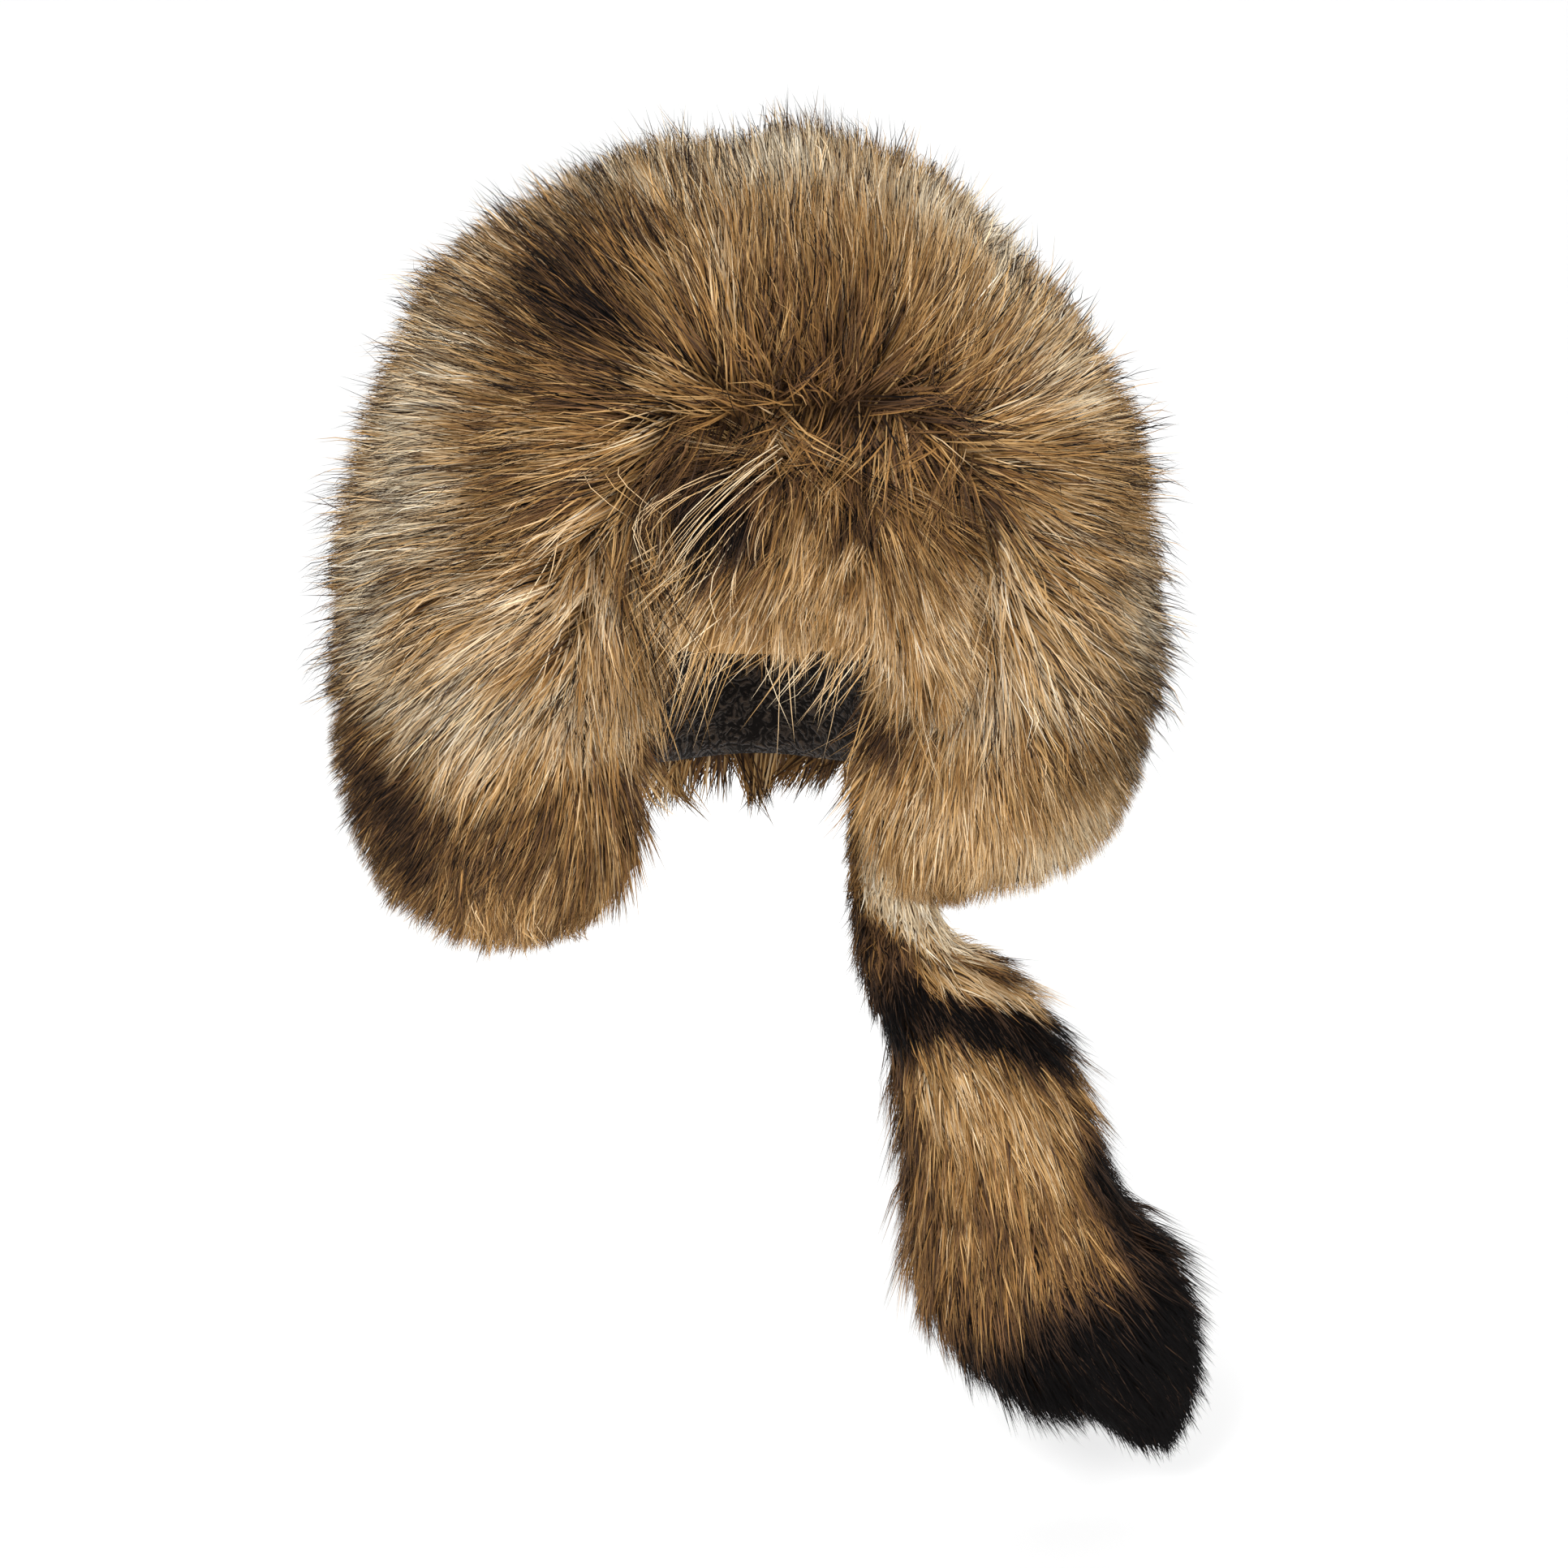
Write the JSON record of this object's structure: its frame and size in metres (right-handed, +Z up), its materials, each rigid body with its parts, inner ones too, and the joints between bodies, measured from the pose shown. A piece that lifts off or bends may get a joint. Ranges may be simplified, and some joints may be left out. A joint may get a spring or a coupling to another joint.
{
  "type": "fur ushanka with a tail",
  "caption": "Deep-fur winter hat with hanging ear flaps, a turned-up forehead flap, a neck flap, a fleece crown lining and a hanging fur tail.",
  "frame": {"origin": "inner top of the crown lining, where the hat sits on a head", "axes": "+Z up, the front of the hat faces -Y, +X is the wearer's left"},
  "size_m": [0.4163, 0.3202, 0.6928],
  "materials": {
    "lining": "dark crinkled fleece",
    "crown_fur": "deep tan and cream fur with dark tips",
    "forehead_fur": "golden brown fur with long pale hairs",
    "ear_fur": "cream and golden fur with black patches",
    "neck_fur": "grey brown fur",
    "tail_fur": "banded fur, black at the root band and the tip"
  },
  "bodies": {
    "root": {"crown_lining": "lining", "ear_lining_left": "lining", "ear_lining_right": "lining", "neck_lining": "lining", "crown_fur": "crown_fur", "forehead_flap": "forehead_fur", "ear_fur_left": "ear_fur", "ear_fur_right": "ear_fur", "neck_fur": "neck_fur", "tail": "tail_fur"}
  },
  "joints": []
}
